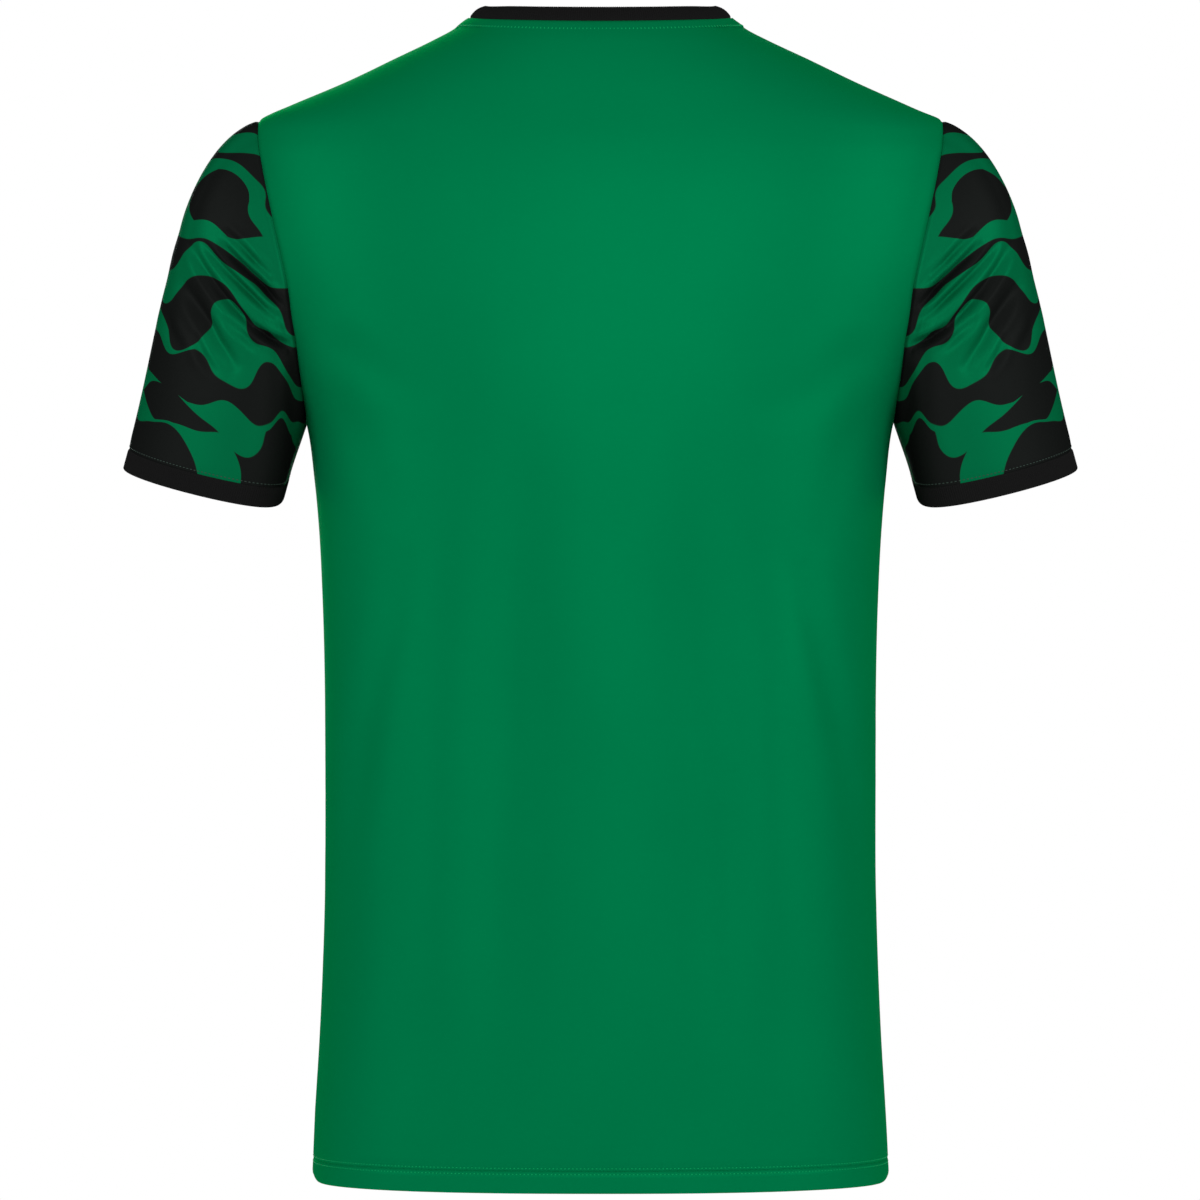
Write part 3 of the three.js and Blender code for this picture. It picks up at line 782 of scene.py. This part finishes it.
# Broad drag folds of the form: side, start and end, half width, depth
dragFolds = [
    (1, (238, -138), (202, -178), 8, 3), (1, (258, -137), (204, -200), 8, 2.4),
    (1, (265, -162), (229, -219), 9, 2.2), (-1, (240, -132), (200, -176), 9, 2.8),
    (-1, (262, -150), (206, -208), 9, 2.4),
]
# Sharper creases that run in to the armpit
sleeveBackCreases = [
    {"path": [(238, -139), (228, -150), (215, -162), (203, -175), (197, -181)],
     "width": 2.6, "depth": 5.6, "peak": 0.7},
    {"path": [(236, -131), (224, -142), (214, -153), (204, -163)], "width": 2.4, "depth": 3.0, "peak": 0.6},
    {"path": [(250, -139), (238, -153), (222, -169), (209, -181), (195, -189)],
     "width": 2.3, "depth": 3.4, "peak": 0.6},
    {"path": [(258, -139), (250, -154), (240, -168), (229, -181), (219, -191), (208, -198), (199, -202)],
     "width": 2.8, "depth": 4.6, "peak": 0.65},
    {"path": [(217, -193), (204, -200), (192, -204)], "width": 2.4, "depth": 4.6, "peak": 0.7},
    {"path": [(264, -162), (252, -180), (246, -189), (240, -200), (234, -208), (226, -220)],
     "width": 4, "depth": 3.6},
    {"path": [(233, -186), (222, -197), (212, -207)], "width": 2.8, "depth": 2.8},
    {"path": [(274, -176), (270, -192), (262, -206)], "width": 3, "depth": 1.6},
    {"path": [(254, -194), (248, -210), (240, -222)], "width": 3, "depth": 1.6},
]
sleeveFrontCreases = [
    {"path": [(238, -136), (228, -149), (214, -164), (200, -178)], "width": 3.4, "depth": 3.4, "peak": 0.7},
    {"path": [(250, -138), (238, -154), (222, -170), (204, -184)], "width": 2.6, "depth": 2.0},
    {"path": [(260, -146), (250, -164), (234, -184), (216, -198), (202, -205)],
     "width": 3.8, "depth": 2.4, "peak": 0.6},
    {"path": [(266, -172), (256, -190), (242, -206), (230, -216)], "width": 4.8, "depth": 2.4},
    {"path": [(216, -196), (204, -202), (194, -205)], "width": 3, "depth": 2.6, "peak": 0.6},
]


def dragDepth(points):
    total = np.zeros(points.shape[:-1])
    for side, start, end, halfWidth, depth in dragFolds:
        run = np.subtract(end, start).astype(float)
        away = points[..., [0, 2]] - start
        share = away @ run / (run @ run)
        off = np.abs(away[..., 0] * run[1] - away[..., 1] * run[0]) / math.hypot(*run)
        ends = np.exp(-((np.abs(share - 0.5) / 0.55) ** 4))
        fold = depth * ends * np.exp(-((off / halfWidth) ** 2))
        total += np.where(np.sign(points[..., 1]) == side, fold, 0)
    return total


# Rows from the armhole seam to the cuff seam, which leave the shoulder as cloth over an arm does
def sleeveForm(start, finish, turn, cut):
    reach = np.linalg.norm(finish - start, axis=1, keepdims=True)
    share = ((1 - np.cos(turn)) / 2) ** cut["dropSharpness"]
    drop = np.radians(cut["dropOnTop"] + (cut["dropUnderArm"] - cut["dropOnTop"]) * share)
    leave = np.stack([np.cos(drop), -cut["forwardDrift"] * np.abs(np.sin(turn)), -np.sin(drop)], -1)
    leave = leave * cut["leavingPull"] * reach
    arrive = sleeveAxis * cut["arrivingPull"] * reach
    near = np.array(cut["nearSeamRows"])
    rows = np.concatenate([near, np.linspace(0.032, 0.968, cut["lengthRows"]), 1 - near[::-1]])
    t = rows[:, None, None]
    base = (start * (1 + 2 * t) * (1 - t) ** 2 + leave * t * (1 - t) ** 2
            + finish * t * t * (3 - 2 * t) + arrive * t * t * (t - 1))
    return base, t[..., 0]


# Folds, creases and the underarm seam, as depth into the sleeve
def sleeveRelief(base, t, fromTop, fromCuff, fromUnderarm, cut):
    x, y, z = np.moveaxis(base, -1, 0)
    offSeam = np.minimum(np.minimum(t, 1 - t) / cut["foldFade"], 1)
    calm = smoothStep(0, 9, fromTop) * smoothStep(0, 9, fromCuff)
    offSide = smoothStep(0, 12, np.abs(y))
    fine = np.where(y > 0, creaseDepth(sleeveBackCreases, x, z), creaseDepth(sleeveFrontCreases, x, z))
    depth = dragDepth(base) * offSeam + fine * smoothStep(0, 3, fromTop) * offSide
    depth = depth - softWaves(x + y, z, 21, **cut["unevenness"]) * calm
    return depth + dip(fromUnderarm, cut["underarmSeam"])


# The line on the sleeve that runs at an even distance above the cuff seam
def lineAboveCuff(outer, wall, fromCuff, distance):
    rows, columns = fromCuff.shape
    column = np.arange(columns)
    fromEnd = [np.interp(distance, fromCuff[::-1, c], np.arange(rows)) for c in column]
    row = rows - 1 - np.array(fromEnd)
    low = np.floor(row).astype(int)
    part = (row - low)[:, None]
    return outer[low, column] * (1 - part) + outer[low + 1, column] * part, -wall[low, column]


def sleeveShell(cut):
    shares = closingShares(cut["roundSteps"], cut["halfRound"], cut["seamOffsets"])
    turn = np.concatenate([math.pi * shares, 2 * math.pi - math.pi * shares[1:-1][::-1]])
    seam, end = armholeSeamAt(shares), cuffSeamAt(turn)
    base, t = sleeveForm(seam["point"] + seam["across"] * clothGap / 2,
                         end["point"] - end["across"] * clothGap / 2, turn, cut)
    wall = unit(np.cross(np.roll(base, -1, axis=1) - np.roll(base, 1, axis=1), np.gradient(base, axis=0)))
    fromTop = gridLengths(base, 0)
    fromCuff = gridLengths(base[::-1], 0)[::-1]
    column = np.arange(len(turn))
    fromUnderarm = (1 - shares[np.minimum(column, len(turn) - column)]) * cut["halfRound"]
    depth = sleeveRelief(base, t, fromTop, fromCuff, fromUnderarm, cut)
    outer = (base + wall * depth[..., None] + seam["wall"] * dip(fromTop, cut["seamRoll"])[..., None]
             + end["wall"] * dip(fromCuff, cut["cuffRoll"])[..., None])
    inner = outer + wall * cut["thickness"]
    around = np.concatenate([shares, -shares[1:-1][::-1]]) * cut["aroundFlat"] / 2
    flat = np.stack([np.broadcast_to(around, fromCuff.shape), fromCuff], -1)
    surface = shell(outer, inner, flat, ring=True, jump=len(shares) - 1)
    return surface, lineAboveCuff(outer, wall, fromCuff, cut["cuffStitchDistance"])


sleeveSurface, cuffRow = sleeveShell(sleeveCut)
leftSleeve = makePiece("left_sleeve_cloth", sleeveSurface, printedKnit)
rightSleeve = makePiece("right_sleeve_cloth", mirrored(*sleeveSurface), printedKnit)
cuffSewing = {"pitch": 2.6, "length": 1.7, "radius": 0.25, "closed": True}
leftCuffStitching = makeStitching("left_cuff_stitching", [cuffRow], greyThread, **cuffSewing)
rightCuffStitching = makeStitching("right_cuff_stitching", [cuffRow], greyThread, **cuffSewing, mirror=True)
print("sleeves made")

# Rib bands
# lap is how far a band's edge runs past its seam line, so that no light shows through the seam
ribCut = {
    "neckPitch": 1.4,
    "cuffRibs": 246,
    "relief": 0.26,
    "thickness": 2.0,
    "rows": [0, 0.5, 1.1, 1.8, 3, 5, 7, 9, 10.8, 12, 12.5, 12.9, 13.2, 13.4, 13.5],
    "lap": 0.08,
    "seamRoll": {"depth": 0.5, "halfWidth": 0.9},
    "neckBulge": 1.6,
    "cuffBulge": 0,
}


# A band of doubled rib: its rows run from the seam to the folded edge, ribs stand across it
def bandShell(seam, away, bulge, cut):
    rows = np.array(cut["rows"])[:, None, None]
    width = cut["rows"][-1]
    columns = np.arange(len(seam["point"]))
    ribs = np.cos(columns * math.pi / 2)[None, :, None]
    radius = cut["thickness"] / 2
    rest = width - rows
    turned = np.where(rest < radius, radius - np.sqrt(np.maximum(radius ** 2 - (radius - rest) ** 2, 0)), 0)
    turned = np.minimum(turned, 0.94 * radius)
    swell = bulge * np.sin(math.pi * rows / width)
    relief = cut["relief"] * smoothStep(0, 1.2, rows) * (0.35 + 0.65 * smoothStep(0, 1.2, rest)) * ribs
    middle = seam["point"] - seam["across"] * cut["lap"] + away * rows
    outer = middle + seam["wall"] * (turned + dip(rows, cut["seamRoll"]) - swell - relief)
    inner = middle + seam["wall"] * (cut["thickness"] - turned - swell + relief)
    around = np.linalg.norm(np.roll(seam["point"], -1, axis=0) - seam["point"], axis=1)
    u = np.cumsum(around) - around[0]
    half = len(u) // 2
    u = np.where(np.arange(len(u)) <= half, u, u - around.sum())
    flat = np.stack(np.broadcast_arrays(u[None, :], rows[..., 0]), -1)
    return shell(outer, inner, flat, ring=True, jump=half)


# Turns round the cuff that are evenly spaced along its seam
def evenCuffTurns(steps):
    turn = np.linspace(0, 2 * math.pi, 2401)
    track = cuffPoint(turn)
    length = np.concatenate([[0], np.cumsum(np.linalg.norm(np.diff(track, axis=0), axis=1))])
    return np.interp(np.arange(steps) / steps * length[-1], length, turn)


# Even shares of the neckline, four to a rib
def neckRibShares(side, cut):
    line = necklineCurve(side, np.linspace(0, 1, 400))
    length = np.linalg.norm(np.diff(line, axis=0), axis=1).sum()
    return np.linspace(0, 1, 4 * round(length / cut["neckPitch"]) + 1)


cuffSeam = cuffSeamAt(evenCuffTurns(4 * ribCut["cuffRibs"]))
cuffBand = bandShell(cuffSeam, sleeveAxis, ribCut["cuffBulge"], ribCut)
leftCuff = makePiece("left_cuff_band", cuffBand, ribKnit)
rightCuff = makePiece("right_cuff_band", mirrored(*cuffBand), ribKnit)
neckSeam = neckSeamAt(neckRibShares(1, ribCut), neckRibShares(-1, ribCut), 10)
neckSurface = bandShell(neckSeam, neckSeam["across"], ribCut["neckBulge"], ribCut)
neckBand = makePiece("neck_rib_band", neckSurface, ribKnit)

# The stitches round the neck lie on the panels, an even distance below the rib
collarLine = neckSeam["point"] - neckSeam["across"] * panelCut["neckStitchDistance"]
collarSide = np.where(collarLine[:, 1] > 0, 1, -1)
collarLine = settleOnBody(collarLine, collarSide)
collarOut = -inwardNormal(collarLine, collarSide)
neckSewing = {"pitch": 2.4, "length": 2.1, "radius": 0.4, "closed": True, "crosswise": True}
neckRow = (collarLine + collarOut * 0.05, collarOut)
neckStitching = makeStitching("neck_stitching", [neckRow], greenThread, **neckSewing)
print("bands made")

# Hide the solid that each piece stands for
for piece, node, finish in [
    (backPanel, "back_panel", "body_knit"), (frontPanel, "front_panel", "body_knit"),
    (leftSleeve, "left_sleeve", "sleeve_knit"), (rightSleeve, "right_sleeve", "sleeve_knit"),
    (neckBand, "neck_rib", "rib_knit"),
    (leftCuff, "left_cuff", "rib_knit"), (rightCuff, "right_cuff", "rib_knit"),
]:
    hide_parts(node)

# Floor, light and camera
# Metres here; surround is how strongly the white surround lights the cloth, where the camera sees it at 1
studio = {
    "floorSize": 14,
    "floorHeight": -1.45,
    "floorGlow": 0.12,
    "surround": 0.455,
    "aim": (0, 0, -0.33),
    "lens": 224.8,
    "sensor": 36,
    "cameraPlace": (0.0003, 4.72, -0.3622),
}
# name, place, size and watts
softboxes = [
    ("key softbox", (-0.12, 1.4, 0.06), 0.9, 5.6),
    ("left softbox", (1.7, 1.0, 0.14), 1.1, 8.2),
    ("right softbox", (-1.7, 1.0, 0.14), 1.1, 9.2),
    ("top softbox", (0, 0.9, 1.4), 1.0, 2.2),
    ("front softbox", (0.6, -3.2, 0.6), 2.0, 45),
]

# Painted studio floor, matt, with a faint glow of its own that lifts it towards the surround's white
floorMaterial, floorShader = newMaterial("pale studio floor")
floorShader.inputs["Base Color"].default_value = srgb("#f4f4f4")
floorShader.inputs["Roughness"].default_value = 0.9
floorShader.inputs["Emission Color"].default_value = (1, 1, 1, 1)
floorShader.inputs["Emission Strength"].default_value = studio["floorGlow"]
bpy.ops.mesh.primitive_plane_add(size=studio["floorSize"], location=(0, 0, studio["floorHeight"]))
floor = bpy.context.object
floor.name = "studio_floor"
floor.data.materials.append(floorMaterial)

world = bpy.data.worlds.new("white studio")
bpy.context.scene.world = world
world.use_nodes = True
seen = addNode(world.node_tree, "ShaderNodeLightPath").outputs["Is Camera Ray"]
strength = addNode(world.node_tree, "ShaderNodeMapRange",
                   {"Value": seen, "To Min": studio["surround"], "To Max": 1.0}).outputs[0]
background = world.node_tree.nodes["Background"]
world.node_tree.links.new(strength, background.inputs["Strength"])
background.inputs["Color"].default_value = (1, 1, 1, 1)


def softLight(name, place, size, power):
    data = bpy.data.lights.new(name, "AREA")
    data.size = size
    data.energy = power
    light = bpy.data.objects.new(name, data)
    light.location = place
    light.rotation_euler = (Vector(studio["aim"]) - light.location).to_track_quat("-Z", "Y").to_euler()
    light.visible_camera = False
    bpy.context.scene.collection.objects.link(light)


for softbox in softboxes:
    softLight(*softbox)

cameraData = bpy.data.cameras.new("photo camera")
cameraData.sensor_width = studio["sensor"]
cameraData.lens = studio["lens"]
camera = bpy.data.objects.new("photo camera", cameraData)
camera.location = studio["cameraPlace"]
camera.rotation_euler = (math.pi / 2, 0, math.pi)
bpy.context.scene.collection.objects.link(camera)
bpy.context.scene.camera = camera
bpy.context.scene.view_settings.view_transform = "Standard"
print("stage set")
